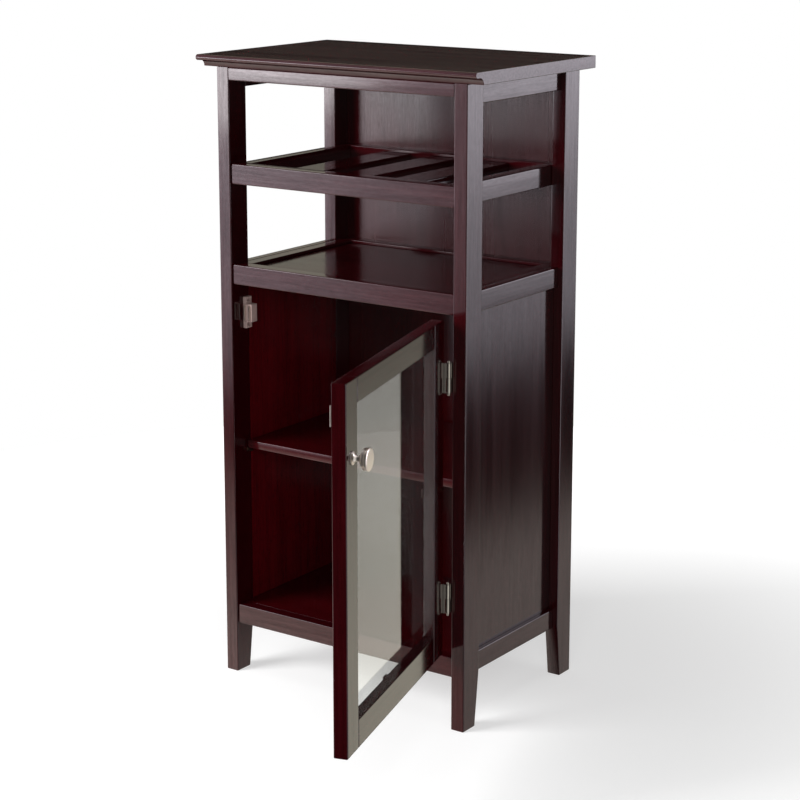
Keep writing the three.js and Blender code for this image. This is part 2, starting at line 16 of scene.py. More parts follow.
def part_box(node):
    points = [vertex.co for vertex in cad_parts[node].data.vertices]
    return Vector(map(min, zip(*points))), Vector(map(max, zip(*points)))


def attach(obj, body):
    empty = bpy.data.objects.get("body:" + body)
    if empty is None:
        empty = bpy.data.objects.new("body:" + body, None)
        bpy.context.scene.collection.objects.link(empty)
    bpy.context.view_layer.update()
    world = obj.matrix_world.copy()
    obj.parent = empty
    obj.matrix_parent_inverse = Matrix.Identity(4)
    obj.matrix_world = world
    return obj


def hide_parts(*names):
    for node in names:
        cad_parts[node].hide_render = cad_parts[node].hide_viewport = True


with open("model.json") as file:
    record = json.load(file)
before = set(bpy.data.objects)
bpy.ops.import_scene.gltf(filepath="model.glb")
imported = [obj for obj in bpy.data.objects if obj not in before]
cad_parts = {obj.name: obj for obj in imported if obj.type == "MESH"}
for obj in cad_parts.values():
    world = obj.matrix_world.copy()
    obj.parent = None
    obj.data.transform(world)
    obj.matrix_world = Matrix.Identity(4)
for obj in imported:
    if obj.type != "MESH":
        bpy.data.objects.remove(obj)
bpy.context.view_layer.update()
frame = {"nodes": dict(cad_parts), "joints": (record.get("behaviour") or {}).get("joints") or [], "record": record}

bl_info = {
    "name": "Wine Cabinet",
    "version": (1, 0, 0),
    "blender": (4, 5, 0),
    "location": "3D View > Sidebar > Cabinet",
    "description": "Finishes a lacquered wine cabinet with a glazed door and satin nickel fittings",
    "category": "Object",
}

X, Y, Z = Vector((1, 0, 0)), Vector((0, 1, 0)), Vector((0, 0, 1))
MM = 0.001

# The door's hinge line, and how far the door stands open from shut
DOOR = next(joint for joint in frame["joints"] if joint["name"] == "door_hinge")
HINGE_LINE = Vector(DOOR["pos_m"])
DOOR_ANGLE = math.radians(-DOOR["range_deg"][0])

# The point on the floor that is the middle of the four feet
FEET_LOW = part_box("post_front_left")[0]
FEET_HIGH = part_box("post_back_right")[1]
MIDDLE = Vector(((FEET_LOW.x + FEET_HIGH.x) / 2, (FEET_LOW.y + FEET_HIGH.y) / 2, 0))

# The height of the cabinet
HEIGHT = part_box("top_board")[1].z

# Which body of the cabinet each node moves with
BODY_OF = {
    node: body for body, nodes in frame["record"]["behaviour"]["bodies"].items() for node in nodes
}

# Panels whose figure stands upright although they are wider than they are high
UPRIGHT_PANELS = ("upper_back_panel", "lower_back_panel", "side_panel_left", "side_panel_right")
# Boards inside the cupboard, which get the stain made lighter as painted light
INTERIOR = ("lower_back_panel", "shelf", "floor_panel")
METAL_PREFIXES = ("hinge_", "shelf_pin_", "catch_pole_", "strike_plate", "knob")
PLASTIC_PREFIXES = ("glass_clip_", "catch_bracket", "catch_case")

# Panels that are rougher than the other wood, by how many times
ROUGHER = {"upper_back_panel": 2.4, "tray_panel": 1.6}

# Panels whose faces inside the cupboard are painted lighter and redder, as painted light inside the cupboard, by
# the direction in which those faces look
PAINTED_LIGHT_FACES = {"side_panel_left": X, "side_panel_right": -X}

# The direction in which the foot of each of the glass's clips points, with the door shut
CLIP_FEET = {"free": -X, "hinge": X, "bottom": -Z, "top": Z}

# Names of the attributes that move each board to its own place in the grain, and mark its inner face, which gets
# painted light
BOARD_SHIFT = "board_shift"
INNER_FACE = "inner_face"

# How far the place in the grain moves from one board to the next, and where it starts again
BOARD_SHIFT_STEP = (0.731, 0.417, 1.913)
BOARD_SHIFT_LIMIT = 3

# How much stronger the ripple and flecks of the thin panels are
PANEL_RIPPLE = 1.3

# How closely a face has to look in a direction to count as facing it, where exactly is one
FACING = 0.9


# Settings


def colour_setting(name, description, default):
    """A colour that a user can change."""
    return FloatVectorProperty(
        name=name, description=description, subtype="COLOR", size=3, min=0, max=1, default=default
    )


def length_setting(name, description, default, least=0):
    """A length that a user can change, in metres."""
    return FloatProperty(
        name=name,
        description=description,
        subtype="DISTANCE",
        unit="LENGTH",
        min=least,
        default=default,
    )


def angle_setting(name, description, degrees):
    """An angle that a user can change."""
    angle = math.radians(degrees)
    return FloatProperty(
        name=name, description=description, subtype="ANGLE", unit="ROTATION", default=angle
    )


def power_setting(name, description, default):
    """The power of a lamp that a user can change, in watts."""
    return FloatProperty(
        name=name, description=description, unit="POWER", min=0, default=default
    )


def roughness_setting(name, description, default):
    """A roughness that a user can change, from mirror to matt."""
    return FloatProperty(
        name=name, description=description, subtype="FACTOR", min=0, max=1, default=default
    )


class WoodSettings(bpy.types.PropertyGroup):
    """Colours and edges of the lacquered wood."""

    stain: colour_setting("Stain", "Colour of the dark lacquered wood", (0.025, 0.001, 0.0021))
    # Stain and painted light: the boards inside the cupboard are lighter than the outside wood, standing in for
    # light inside it
    inside_stain_and_painted_light: colour_setting(
        "Inside stain", "Colour of the boards inside the cupboard", (0.034, 0.0008, 0.0018)
    )
    # Painted light: the side panels' inner faces take this lighter, redder colour in place of light inside the
    # cupboard
    panel_stain: colour_setting(
        "Panel's inner stain",
        "Colour of the side panels' faces inside the cupboard",
        (0.085, 0.002, 0.0045),
    )
    gloss: roughness_setting("Lacquer", "Roughness of the lacquer", 0.11)
    arris: length_setting("Arris", "How far the sharp edges of the boards are eased", 0.4 * MM)


class FittingSettings(bpy.types.PropertyGroup):
    """Sizes and colours of the metal, glass and plastic fittings."""

    nickel: colour_setting("Nickel", "Colour of the satin nickel", (0.74, 0.68, 0.61))
    hinge_nickel: colour_setting(
        "Hinges", "Colour of the darker nickel of the hinges", (0.4, 0.37, 0.32)
    )
    bronze: colour_setting("Bronze", "Colour of the dark shelf pins", (0.1, 0.06, 0.045))
    plastic: colour_setting("Catch", "Colour of the plastic door catch", (0.52, 0.38, 0.35))
    clip_plastic: colour_setting(
        "Clips", "Colour of the clips that hold the glass", (0.05, 0.03, 0.028)
    )
    glass: colour_setting("Glass", "Tint of the door's glass", (0.93, 0.945, 0.92))
    satin: roughness_setting("Satin", "Roughness of the nickel", 0.32)
    polish: roughness_setting(
        "Polish", "Roughness of the hinges, which are smoother than the other nickel", 0.19
    )
    metal_edge: length_setting(
        "Metal edge", "How far the edges of the catch's metal plates are eased", 0.2 * MM
    )
    pin_edge: length_setting("Pin edge", "How far the edges of the shelf pins are eased", 0.3 * MM)
    clip_edge: length_setting("Clip edge", "How far the edges of the clips are eased", 0.4 * MM)
    hinge_edge: length_setting("Hinge edge", "How far the hinges' edges are eased", 0.45 * MM)
    glass_edge: length_setting("Glass edge", "Width of the glass's ground edges", 0.4 * MM)
    screw_head: length_setting(
        "Screw head", "Radius of the hinge screws' heads, which the smaller ones follow", 2.8 * MM
    )
    screw_rise: length_setting(
        "Screw rise", "How far the flush heads of the hinge screws stand out", 0.35 * MM
    )
    knob_neck: length_setting("Knob neck", "Radius of the knob's narrowest place", 3.5 * MM)
    knob_base: length_setting(
        "Knob base", "Radius of the knob where it stands on the door", 8.7 * MM
    )
    turned_sides: IntProperty(
        name="Turned sides",
        description="Number of sides of the turned pieces",
        min=12,
        default=64,
    )


class StudioSettings(bpy.types.PropertyGroup):
    """Camera, floor and lamps."""

    azimuth: angle_setting(
        "Azimuth", "How far the camera stands round to the right of the front", 35.002
    )
    elevation: angle_setting("Elevation", "How far the camera looks down", 12.212)
    distance: length_setting("Distance", "From the camera to the middle of the cabinet", 3.2001)
    aside: length_setting(
        "Aside", "How far the camera stands to the right of that line", 0.0027, least=-1
    )
    above: length_setting(
        "Above", "How far the camera stands above that line", 0.0773, least=-1
    )
    lens: FloatProperty(
        name="Lens", description="Focal length in millimetres", unit="CAMERA", default=95.36
    )
    shift: FloatProperty(
        name="Shift", description="Rise of the lens, as a share of the picture", default=-0.1
    )
    sheet: length_setting(
        "Floor sheet", "Radius of the white sheet that the cabinet stands on", 1.5
    )
    key: power_setting("Key lamp", "Power of the large lamp at the front left", 140)
    fill: power_setting("Fill lamp", "Power of the lamp at the right", 36)
    overhead: power_setting("Overhead lamp", "Power of the lamp over the cabinet", 15)
    mirrored: power_setting(
        "Mirrored lamp", "Power of the lamp that the lacquer mirrors at the front left", 21
    )


class CabinetSettings(bpy.types.PropertyGroup):
    """Everything that a user would change."""

    wood: PointerProperty(type=WoodSettings, name="Wood", description="Wood")
    fittings: PointerProperty(type=FittingSettings, name="Fittings", description="Fittings")
    studio: PointerProperty(type=StudioSettings, name="Studio", description="Studio")


# Helpers for selecting and shaping


def only(piece):
    """Selects this piece alone and makes it the active one."""
    bpy.ops.object.select_all(action="DESELECT")
    piece.select_set(True)
    bpy.context.view_layer.objects.active = piece


def edit(piece):
    """Opens the piece in edit mode with all of it selected."""
    only(piece)
    bpy.ops.object.mode_set(mode="EDIT")
    bpy.ops.mesh.select_all(action="SELECT")


def close():
    """Leaves edit mode."""
    bpy.ops.object.mode_set(mode="OBJECT")


def settle(piece):
    """Moves the piece's place into its mesh, so that its object sits at the origin."""
    only(piece)
    bpy.ops.object.transform_apply(location=True, rotation=True, scale=True)
    return piece


def finish_with(piece, kind, **settings):
    """Adds a modifier with these settings and applies it."""
    only(piece)
    bpy.ops.object.modifier_add(type=kind)
    modifier = piece.modifiers[-1]
    for name, value in settings.items():
        setattr(modifier, name, value)
    bpy.ops.object.modifier_apply(modifier=modifier.name)


def ease_edges(piece, width, steps=2, over=50):
    """Rounds every edge that turns more than the given angle."""
    angle = math.radians(over)
    finish_with(piece, "BEVEL", width=width, segments=steps, limit_method="ANGLE", angle_limit=angle)


def smooth(piece, angle=40, weight=50):
    """Shades round forms smooth. The full weight of 100 keeps broad faces flat up to their edges."""
    only(piece)
    bpy.ops.object.shade_smooth_by_angle(angle=math.radians(angle))
    finish_with(piece, "WEIGHTED_NORMAL", keep_sharp=True, weight=weight)


def whole_copy(node, name):
    """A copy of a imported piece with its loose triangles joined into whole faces."""
    same_place, same_plane = 0.01 * MM, math.radians(0.5)
    piece = bpy.data.objects.new(name, frame["nodes"][node].data.copy())
    bpy.context.scene.collection.objects.link(piece)
    piece.data.materials.clear()
    edit(piece)
    bpy.ops.mesh.customdata_custom_splitnormals_clear()
    bpy.ops.mesh.remove_doubles(threshold=same_place)
    bpy.ops.mesh.dissolve_limited(angle_limit=same_plane)
    close()
    return piece


def join(pieces, name):
    """Joins pieces into one under a new name."""
    only(pieces[0])
    for piece in pieces[1:]:
        piece.select_set(True)
    bpy.ops.object.join()
    pieces[0].name = name
    return pieces[0]


def turned(name, profile, sides):
    """A piece turned on a lathe about Z, from the radius and the height of each ring."""
    (radius, height), *rings = profile
    bpy.ops.object.select_all(action="DESELECT")
    bpy.ops.mesh.primitive_circle_add(
        vertices=sides, radius=radius, fill_type="NGON", location=(0, 0, height)
    )
    piece = bpy.context.object
    piece.name = name
    edit(piece)
    for next_radius, next_height in rings:
        rise = (0, 0, next_height - height)
        bpy.ops.mesh.extrude_region_move(TRANSFORM_OT_translate={"value": rise})
        share = next_radius / radius
        bpy.ops.transform.resize(value=(share, share, 1), center_override=(0, 0, next_height))
        radius, height = next_radius, next_height
    bpy.ops.mesh.select_all(action="SELECT")
    bpy.ops.mesh.normals_make_consistent(inside=False)
    close()
    return settle(piece)


def aim(piece, place, direction):
    """Puts a piece that was drawn along Z at a place, so that it points in a direction."""
    piece.rotation_mode = "QUATERNION"
    piece.rotation_quaternion = Z.rotation_difference(direction)
    piece.location = place
    return settle(piece)


def copied(piece, name):
    """A copy with its own mesh."""
    twin = bpy.data.objects.new(name, piece.data.copy())
    bpy.context.scene.collection.objects.link(twin)
    return twin


def swing_matrix(angle):
    """Turns a point about the door's hinge line."""
    return (
        Matrix.Translation(HINGE_LINE)
        @ Matrix.Rotation(angle, 4, "Z")
        @ Matrix.Translation(-HINGE_LINE)
    )


def swing_open(piece):
    """Turns a piece that was modelled with the door shut to where the door stands."""
    piece.matrix_world = swing_matrix(DOOR_ANGLE) @ piece.matrix_world
    return settle(piece)


def shut_points(node):
    """The corners of a piece's mesh with the door shut."""
    moves = BODY_OF[node] == BODY_OF["knob"]
    shut = swing_matrix(-DOOR_ANGLE) if moves else Matrix()
    return [shut @ vertex.co for vertex in frame["nodes"][node].data.vertices]


def shut_box(node):
    """Lowest and highest corner of a piece with the door shut."""
    points = shut_points(node)
    low = Vector(min(point[axis] for point in points) for axis in range(3))
    high = Vector(max(point[axis] for point in points) for axis in range(3))
    return low, high


def hand_over(piece, slot, material, body, *nodes):
    """Gives a finished piece its material and sets it on its body in place of the nodes. The slot is not used."""
    piece.data.materials.clear()
    piece.data.materials.append(material)
    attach(piece, body)
    if nodes:
        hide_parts(*nodes)


# Helpers for materials


def add_node(tree, kind, inputs=None, **settings):
    """Adds a shader node. An input is a value, or another node's output to link to it."""
    node = tree.nodes.new(kind)
    for name, value in settings.items():
        setattr(node, name, value)
    for key, value in (inputs or {}).items():
        if isinstance(value, bpy.types.NodeSocket):
            tree.links.new(value, node.inputs[key])
        else:
            node.inputs[key].default_value = value
    return node


def new_material(name):
    """A material with an empty node tree, and the tree."""
    material = bpy.data.materials.new(name)
    material.use_nodes = True
    material.node_tree.nodes.clear()
    return material, material.node_tree


def object_point(tree):
    """The point being shaded, in the cabinet's own coordinates."""
    return add_node(tree, "ShaderNodeTexCoord").outputs["Object"]


def scaled(tree, point, factors):
    """A point with each coordinate multiplied by its own factor."""
    node = add_node(tree, "ShaderNodeVectorMath", {0: point, 1: factors}, operation="MULTIPLY")
    return node.outputs[0]


def noise(tree, point, scale, detail=2.0, roughness=0.5):
    """Smooth noise between 0 and 1."""
    inputs = {"Vector": point, "Scale": scale, "Detail": detail, "Roughness": roughness}
    return add_node(tree, "ShaderNodeTexNoise", inputs).outputs["Fac"]


def remap(tree, value, source, target, smoothly=False):
    """Maps a value from one range to another, held inside it."""
    inputs = {
        "Value": value,
        "From Min": source[0],
        "From Max": source[1],
        "To Min": target[0],
        "To Max": target[1],
    }
    kind = "SMOOTHSTEP" if smoothly else "LINEAR"
    return add_node(tree, "ShaderNodeMapRange", inputs, interpolation_type=kind).outputs["Result"]


def maths(tree, operation, first, second=0.0):
    """The result of an operation on one or two values."""
    node = add_node(tree, "ShaderNodeMath", {0: first, 1: second}, operation=operation)
    return node.outputs[0]


def tint(tree, colour, factor):
    """A colour made lighter or darker by a factor."""
    node = add_node(tree, "ShaderNodeVectorMath", {0: colour, "Scale": factor}, operation="SCALE")
    return node.outputs[0]


def plain_colour(tree, colour):
    """One even colour."""
    node = add_node(tree, "ShaderNodeRGB")
    node.outputs[0].default_value = (*colour, 1)
    return node.outputs[0]


def ramp(tree, value, stops):
    """A colour ramp through the given places and colours."""
    node = add_node(tree, "ShaderNodeValToRGB", {"Fac": value})
    elements = node.color_ramp.elements
    while len(elements) < len(stops):
        elements.new(0.5)
    for element, (place, colour) in zip(elements, stops):
        element.position = place
        element.color = (*colour, 1)
    return node.outputs["Color"]


def bump(tree, height, distance, normal=None):
    """A normal tilted by a height in metres."""
    inputs = {"Height": height, "Distance": distance, "Strength": 1.0}
    if normal is not None:
        inputs["Normal"] = normal
    return add_node(tree, "ShaderNodeBump", inputs).outputs["Normal"]


def output(tree, shader):
    """Links a shader to the material's output."""
    add_node(tree, "ShaderNodeOutputMaterial", {"Surface": shader})


# Materials

WHITE = (1, 1, 1)

# How strongly the lacquer and the glass bend light
COATING_IOR = 1.5
GLASS_IOR = 1.5

# For each kind of mark in the wood: how many there are in a metre across the grain, what share of
# that along it, how many finer layers they have and how strong those are
FIGURE = {
    "bands": (38, 0.035, 2, 0.5),
    "streaks": (330, 0.035, 4, 0.62),
    "pores": (1500, 0.07, 1, 0.5),
    "clouds": (9, 1, 3, 0.5),
    "flecks": (420, 0.3, 2, 0.6),
    "waves": (42, 0.3, 1, 0.5),
}

# The range in which most values of a noise lie
MOST = (0.3, 0.7)

# The tone of the streaks by their noise, as shares of the stain
STREAK_TONES = ((0.3, 0.75), (0.5, 1), (0.72, 1.3))

# How far the bands, clouds and pores darken or lighten the wood, and the noise at a pore's rim
BAND_TONES, CLOUD_TONES, PORE_TONES = (0.85, 1.15), (0.9, 1.1), (0.6, 1.0)
PORE_RIM = (0.30, 0.38)

# How far the bands change the roughness, the sheen that the streaks give, and how far the flecks
# change that sheen
BAND_ROUGHNESS, STREAK_SHEEN, FLECK_SHEEN = 0.015, (0.4, 0.6), 0.12

# Height of the marks in the lacquer
WAVE_HEIGHT, STREAK_HEIGHT, PORE_HEIGHT = 0.03 * MM, 0.016 * MM, 0.01 * MM


def marks(tree, point, kind):
    """One kind of mark in the wood, as a value between 0 and 1."""
    across, share, layers, strength = FIGURE[kind]
    return noise(tree, scaled(tree, point, (1, 1, share)), across, layers, strength)


def grain_point(tree, along):
    """The point being shaded, turned to bring the grain onto Z and moved to the board's own place."""
    turn = along.rotation_difference(Z).to_euler()
    inputs = {"Vector": object_point(tree), "Rotation": turn}
    turned_point = add_node(tree, "ShaderNodeMapping", inputs).outputs["Vector"]
    shift = add_node(tree, "ShaderNodeAttribute", attribute_name=BOARD_SHIFT).outputs["Vector"]
    inputs = {0: turned_point, 1: shift}
    return add_node(tree, "ShaderNodeVectorMath", inputs, operation="ADD").outputs[0]


def painted_light_factors(tree, stain):
    """What the stain is multiplied by: one, or on a panel's inner face what makes it lighter and redder, as
    painted light inside the cupboard.
    """
    inner = bpy.context.scene.wine_cabinet.wood.panel_stain
    painted_light_ratio = tuple(mine / other for mine, other in zip(inner, stain))
    inside = add_node(tree, "ShaderNodeAttribute", attribute_name=INNER_FACE).outputs["Fac"]
    inputs = {"Factor": inside, "A": WHITE, "B": painted_light_ratio}
    return add_node(tree, "ShaderNodeMix", inputs, data_type="VECTOR").outputs[1]


def lacquered_wood(name, stain, along, ripple, gloss):
    """Dark stained wood under a satin lacquer, with its grain along a direction."""
    material, tree = new_material(name)
    point = grain_point(tree, along)
    bands, streaks, pores, clouds, flecks, waves = (marks(tree, point, kind) for kind in FIGURE)

    stops = [(place, tuple(tone * part for part in stain)) for place, tone in STREAK_TONES]
    grain = ramp(tree, streaks, stops)
    tone = remap(tree, bands, MOST, BAND_TONES)
    tone = maths(tree, "MULTIPLY", tone, remap(tree, clouds, MOST, CLOUD_TONES))
    open_pore = remap(tree, pores, PORE_RIM, PORE_TONES)
    colour = tint(tree, grain, maths(tree, "MULTIPLY", tone, open_pore))
    # Painted light: the inner faces of the side panels are made lighter and redder
    colour = scaled(tree, colour, painted_light_factors(tree, stain))

    rough = remap(tree, bands, MOST, (gloss - BAND_ROUGHNESS, gloss + BAND_ROUGHNESS))
    sheen = remap(tree, streaks, MOST, STREAK_SHEEN)
    change = FLECK_SHEEN * ripple
    fleck = remap(tree, flecks, MOST, (1 - change, 1 + change))
    normal = bump(tree, waves, WAVE_HEIGHT * ripple)
    normal = bump(tree, streaks, STREAK_HEIGHT, normal=normal)
    normal = bump(tree, open_pore, PORE_HEIGHT, normal=normal)
    inputs = {
        "Base Color": colour,
        "Roughness": rough,
        "Normal": normal,
        "IOR": COATING_IOR,
        "Specular IOR Level": maths(tree, "MULTIPLY", sheen, fleck),
    }
    output(tree, add_node(tree, "ShaderNodeBsdfPrincipled", inputs).outputs["BSDF"])
    return material


def satin_metal(name, colour, roughness):
    """Plated metal with a satin finish and faint polishing lines."""
    material, tree = new_material(name)
    point = object_point(tree)
    lines = noise(tree, scaled(tree, point, (1, 1, 12)), 420, detail=3)
    cloud = noise(tree, point, 140, detail=2)
    shade = maths(
        tree,
        "MULTIPLY",
        remap(tree, lines, MOST, (0.95, 1.04)),
        remap(tree, cloud, MOST, (0.94, 1.05)),
    )
    inputs = {
        "Base Color": tint(tree, plain_colour(tree, colour), shade),
        "Roughness": remap(tree, cloud, MOST, (0.88 * roughness, 1.12 * roughness)),
        "Metallic": 1.0,
        "Normal": bump(tree, lines, 0.01 * MM),
    }
    output(tree, add_node(tree, "ShaderNodeBsdfPrincipled", inputs).outputs["BSDF"])
    return material


def moulded_plastic(name, colour):
    """Moulded plastic with a fine even grain."""
    material, tree = new_material(name)
    point = object_point(tree)
    cloud = noise(tree, point, 120, detail=2)
    grain = noise(tree, point, 2600, detail=1)
    plain = plain_colour(tree, colour)
    inputs = {
        "Base Color": tint(tree, plain, remap(tree, cloud, MOST, (0.9, 1.08))),
        "Roughness": remap(tree, cloud, MOST, (0.36, 0.46)),
        "Normal": bump(tree, grain, 0.02 * MM),
    }
    output(tree, add_node(tree, "ShaderNodeBsdfPrincipled", inputs).outputs["BSDF"])
    return material


def clear_glass(name):
    """Clear float glass with the faintest wave and haze."""
    material, tree = new_material(name)
    colour = bpy.context.scene.wine_cabinet.fittings.glass
    point = object_point(tree)
    haze = noise(tree, point, 14, detail=3)
    wave = noise(tree, point, 3)
    inputs = {
        "Base Color": (*colour, 1),
        "Roughness": remap(tree, haze, (0.35, 0.75), (0.0, 0.03)),
        "Transmission Weight": 1.0,
        "IOR": GLASS_IOR,
        "Normal": bump(tree, wave, 0.3 * MM),
    }
    output(tree, add_node(tree, "ShaderNodeBsdfPrincipled", inputs).outputs["BSDF"])
    return material


def shared(name, make, *settings):
    """A material that is made once and then shared by the pieces that need it."""
    return bpy.data.materials.get(name) or make(name, *settings)


def nickel():
    """The material of the bright metal fittings."""
    fittings = bpy.context.scene.wine_cabinet.fittings
    return shared("satin_nickel", satin_metal, fittings.nickel, fittings.satin)


# Wood


def grain_direction(node):
    """The direction in which a board's grain runs, and a word for it."""
    if node.startswith("door_rail"):
        return Matrix.Rotation(DOOR_ANGLE, 3, "Z") @ X, "door"
    if node.startswith(("post_", "door_stile")) or node in UPRIGHT_PANELS:
        return Z, "z"
    low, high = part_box(node)
    sides = high - low
    return (X, "x") if sides.x > sides.y else (Y, "y")


def shift_board(piece, number):
    """Moves a board to its own place in the grain pattern."""
    shift = [part % BOARD_SHIFT_LIMIT for part in Vector(BOARD_SHIFT_STEP) * number]
    attribute = piece.data.attributes.new(BOARD_SHIFT, "FLOAT_VECTOR", "POINT")
    attribute.data.foreach_set("vector", shift * len(piece.data.vertices))


def mark_inner_face(piece, direction):
    """Marks the faces of a panel that look into the cupboard, which get painted light."""
    attribute = piece.data.attributes.new(INNER_FACE, "FLOAT", "FACE")
    inner = [float(face.normal.dot(direction) > FACING) for face in piece.data.polygons]
    attribute.data.foreach_set("value", inner)


def lacquered_piece(node, number, slot, stain):
    """A finished copy of one wooden piece."""
    wood = bpy.context.scene.wine_cabinet.wood
    piece = whole_copy(node, f"lacquered_{node}")
    ease_edges(piece, wood.arris)
    smooth(piece, weight=100)
    shift_board(piece, number)
    # Painted light: the side panels' faces inside the cupboard are marked to be painted lighter
    if node in PAINTED_LIGHT_FACES:
        mark_inner_face(piece, PAINTED_LIGHT_FACES[node])
    along, word = grain_direction(node)
    ripple = PANEL_RIPPLE if "panel" in node else 1.0
    gloss = wood.gloss * ROUGHER.get(node, 1)
    kind = f"{slot}_{word}_panel" if "panel" in node else f"{slot}_{word}"
    kind = f"{slot}_{node}" if node in ROUGHER else kind
    material = shared(kind, lacquered_wood, stain, along, ripple, gloss)
    hand_over(piece, slot, material, BODY_OF[node], node)


def is_fitting(node):
    """Whether a node is metal, plastic or glass and not wood."""
    return node.startswith((*METAL_PREFIXES, *PLASTIC_PREFIXES)) or node == "door_glass"


def wooden_nodes():
    """The names of the wooden pieces in a fixed order."""
    return sorted(node for node in frame["nodes"] if not is_fitting(node))


class CABINET_OT_carcase(bpy.types.Operator):
    """Finishes the top, posts, rails, panels and the door's frame in lacquered wood"""

    bl_idname = "cabinet.carcase"
    bl_label = "Lacquered Wood"

    def execute(self, context):
        stain = context.scene.wine_cabinet.wood.stain
        for number, node in enumerate(wooden_nodes()):
            if node not in INTERIOR:
                lacquered_piece(node, number, "wood", tuple(stain))
        return {"FINISHED"}


class CABINET_OT_interior(bpy.types.Operator):
    """Finishes the shelf, floor and back of the cupboard in the stain, made lighter as painted light"""

    bl_idname = "cabinet.interior"
    bl_label = "Cupboard Interior"

    def execute(self, context):
        # The inside stain is made lighter as painted light inside the cupboard
        stain = context.scene.wine_cabinet.wood.inside_stain_and_painted_light
        for number, node in enumerate(INTERIOR):
            lacquered_piece(node, number + len(frame["nodes"]), "interior", tuple(stain))
        return {"FINISHED"}


class CABINET_OT_glass(bpy.types.Operator):
    """Gives the door its pane of clear glass with ground edges"""

    bl_idname = "cabinet.glass"
    bl_label = "Door Glass"

    def execute(self, context):
        pane = whole_copy("door_glass", "glass_pane")
        ease_edges(pane, context.scene.wine_cabinet.fittings.glass_edge, steps=1)
        smooth(pane)
        material = shared("clear_glass", clear_glass)
        hand_over(pane, "glass", material, BODY_OF["door_glass"], "door_glass")
        return {"FINISHED"}


# Metal and plastic fittings

# The dome of a screw head, as shares of its radius and of its rise
DOME_SHARES = ((1, 0), (1, 0.25), (0.85, 0.65), (0.55, 0.92), (0.2, 1))

# The cross slot of a screw head: its length and width as shares of the head's radius, and its depth
# as a share of the head's rise
SLOT_SHARES = (1.1, 0.26, 0.7)
SCREW_SIDES = 32

# Heads of the smaller screws, as shares of the hinge screws' heads, and how far they stand out
CATCH_HEAD, STRIKE_HEAD, CLIP_HEAD = 0.5, 0.8, 0.6
CATCH_RISE, CLIP_RISE = 1.4 * MM, 1 * MM
STRIKE_RISE_SHARE = 0.7

# How far a clip's screw stands from the end of its foot, in radii of the screw's head
CLIP_SCREW_INSET = 1.3

# Where the screws of a leaf and of the strike plate stand, as shares of its height from its middle
LEAF_SCREW_SHARE = 0.29
STRIKE_SCREW_SHARE = 0.3

# How far a hinge's knuckles and necks reach back from its line, where the flat of its leaves starts
KNUCKLE_REACH = 5 * MM


def plated_piece(node, edge, metal):
    """A finished copy of one metal piece."""
    piece = whole_copy(node, f"plated_{node}")
    ease_edges(piece, edge, over=60)
    smooth(piece, angle=45)
    hand_over(piece, "nickel", metal, BODY_OF[node], node)


def moulded_piece(node, edge, plastic):
    """A finished copy of one plastic piece, whose edges stay sharp where their width is zero."""
    piece = whole_copy(node, f"moulded_{node}")
    if edge:
        ease_edges(piece, edge, over=60)
    smooth(piece)
    hand_over(piece, "plastic", plastic, BODY_OF[node], node)


def screw_head(name, radius, rise):
    """The domed head of a small cross-head screw, drawn along Z with its seat at zero."""
    dome = [(wide * radius, high * rise) for wide, high in DOME_SHARES]
    head = turned(name, dome, SCREW_SIDES)
    length, width, depth = SLOT_SHARES
    for turn in (0, math.pi / 2):
        bpy.ops.object.select_all(action="DESELECT")
        bpy.ops.mesh.primitive_cube_add(size=1, location=(0, 0, rise))
        bar = bpy.context.object
        bar.scale = (length * radius, width * radius, 2 * depth * rise)
        bar.rotation_euler.z = turn
        settle(bar)
        finish_with(head, "BOOLEAN", object=bar, operation="DIFFERENCE", solver="EXACT")
        bpy.data.objects.remove(bar)
    return head


def add_screws(node, places, direction, radius, rise, metal):
    """Screw heads on one piece, at places that are given with the door shut, as one piece."""
    name = f"screws_{node}"
    first = screw_head(name, radius, rise)
    heads = [first, *(copied(first, f"{name}_{number}") for number in range(1, len(places)))]
    for head, place in zip(heads, places):
        aim(head, place, direction)
    piece = join(heads, name)
    if BODY_OF[node] == BODY_OF["knob"]:
        swing_open(piece)
    smooth(piece, angle=35)
    hand_over(piece, "nickel", metal, BODY_OF[node])


def quarter_curve(start, end, steps=6):
    """Radius and height along a quarter of an ellipse that leaves its start along the axis."""
    points = []
    for step in range(1, steps + 1):
        angle = step / steps * math.pi / 2
        radius = end[0] + (start[0] - end[0]) * math.cos(angle)
        points.append((radius, start[1] + (end[1] - start[1]) * math.sin(angle)))
    return points


def knob_profile(length, rim):
    """Radius and height of each ring of the knob, from the door to the middle of its face."""
    fittings = bpy.context.scene.wine_cabinet.fittings
    base, neck = fittings.knob_base, fittings.knob_neck
    foot, bell = (base, 1.5 * MM), (neck, 8.5 * MM)
    neck_length, lip = 1 * MM, 0.1 * MM
    rounding, face_rise = 2.5 * MM, 1.6 * MM
    rim_width, groove_width, band_width = 2 * MM, 1.2 * MM, 2.8 * MM
    band_inset, groove_inset, crown_drop = 0.6 * MM, 1.6 * MM, 0.25 * MM

    face = rim - rounding
    rim_top = length - face_rise
    rim_bottom = rim_top - rim_width
    band_top = rim_bottom - groove_width
    band_bottom = band_top - band_width
    band, groove = rim - band_inset, rim - groove_inset
    return [
        (base, 0),
        foot,
        *quarter_curve(bell, foot)[-2::-1],
        bell,
        (neck, bell[1] + neck_length),
        (band, band_bottom),
        (band, band_top),
        (groove, band_top + lip),
        (groove, rim_bottom - lip),
        (rim, rim_bottom),
        *quarter_curve((rim, rim_top), (face, length - crown_drop)),
        (0.7 * face, length - lip),
        (0.3 * face, length),
    ]


